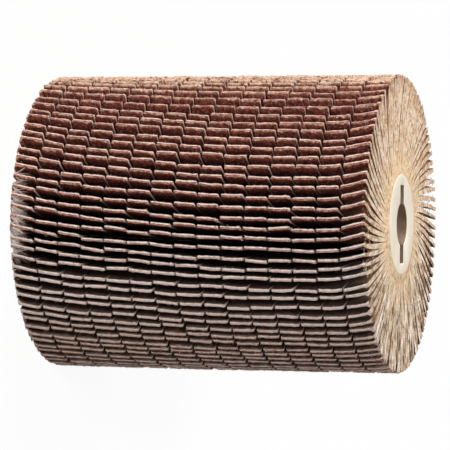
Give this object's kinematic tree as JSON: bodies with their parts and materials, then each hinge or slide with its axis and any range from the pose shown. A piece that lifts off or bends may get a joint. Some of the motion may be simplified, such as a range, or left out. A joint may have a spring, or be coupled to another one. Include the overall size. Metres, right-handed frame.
{
  "type": "abrasive flap drum",
  "caption": "Cylindrical abrasive brush of slit abrasive cloth flaps standing round a moulded core with a keyed bore.",
  "frame": {"origin": "middle of the bore at the core's lower end, on which the drum stands", "axes": "+Z along the bore and the drum's axis, +X through the two keyways; the flaps' tips trail clockwise seen from +Z"},
  "size_m": [0.1, 0.1, 0.121],
  "materials": {
    "abrasive_cloth": "rough",
    "core_plastic": "satin",
    "bond_resin": "matte"
  },
  "bodies": {
    "root": {"core": "core_plastic", "resin_bond": "bond_resin", "flap_pair_01": "abrasive_cloth", "flap_pair_02": "abrasive_cloth", "flap_pair_03": "abrasive_cloth", "flap_pair_04": "abrasive_cloth", "flap_pair_05": "abrasive_cloth", "flap_pair_06": "abrasive_cloth", "flap_pair_07": "abrasive_cloth", "flap_pair_08": "abrasive_cloth", "flap_pair_09": "abrasive_cloth", "flap_pair_10": "abrasive_cloth", "flap_pair_11": "abrasive_cloth", "flap_pair_12": "abrasive_cloth", "flap_pair_13": "abrasive_cloth", "flap_pair_14": "abrasive_cloth", "flap_pair_15": "abrasive_cloth", "flap_pair_16": "abrasive_cloth", "flap_pair_17": "abrasive_cloth", "flap_pair_18": "abrasive_cloth", "flap_pair_19": "abrasive_cloth", "flap_pair_20": "abrasive_cloth", "flap_pair_21": "abrasive_cloth", "flap_pair_22": "abrasive_cloth", "flap_pair_23": "abrasive_cloth", "flap_pair_24": "abrasive_cloth", "flap_pair_25": "abrasive_cloth", "flap_pair_26": "abrasive_cloth", "flap_pair_27": "abrasive_cloth", "flap_pair_28": "abrasive_cloth", "flap_pair_29": "abrasive_cloth", "flap_pair_30": "abrasive_cloth", "flap_pair_31": "abrasive_cloth", "flap_pair_32": "abrasive_cloth", "flap_pair_33": "abrasive_cloth", "flap_pair_34": "abrasive_cloth", "flap_pair_35": "abrasive_cloth", "flap_pair_36": "abrasive_cloth", "flap_pair_37": "abrasive_cloth", "flap_pair_38": "abrasive_cloth", "flap_pair_39": "abrasive_cloth", "flap_pair_40": "abrasive_cloth", "flap_pair_41": "abrasive_cloth", "flap_pair_42": "abrasive_cloth", "flap_pair_43": "abrasive_cloth", "flap_pair_44": "abrasive_cloth", "flap_pair_45": "abrasive_cloth"}
  },
  "joints": []
}
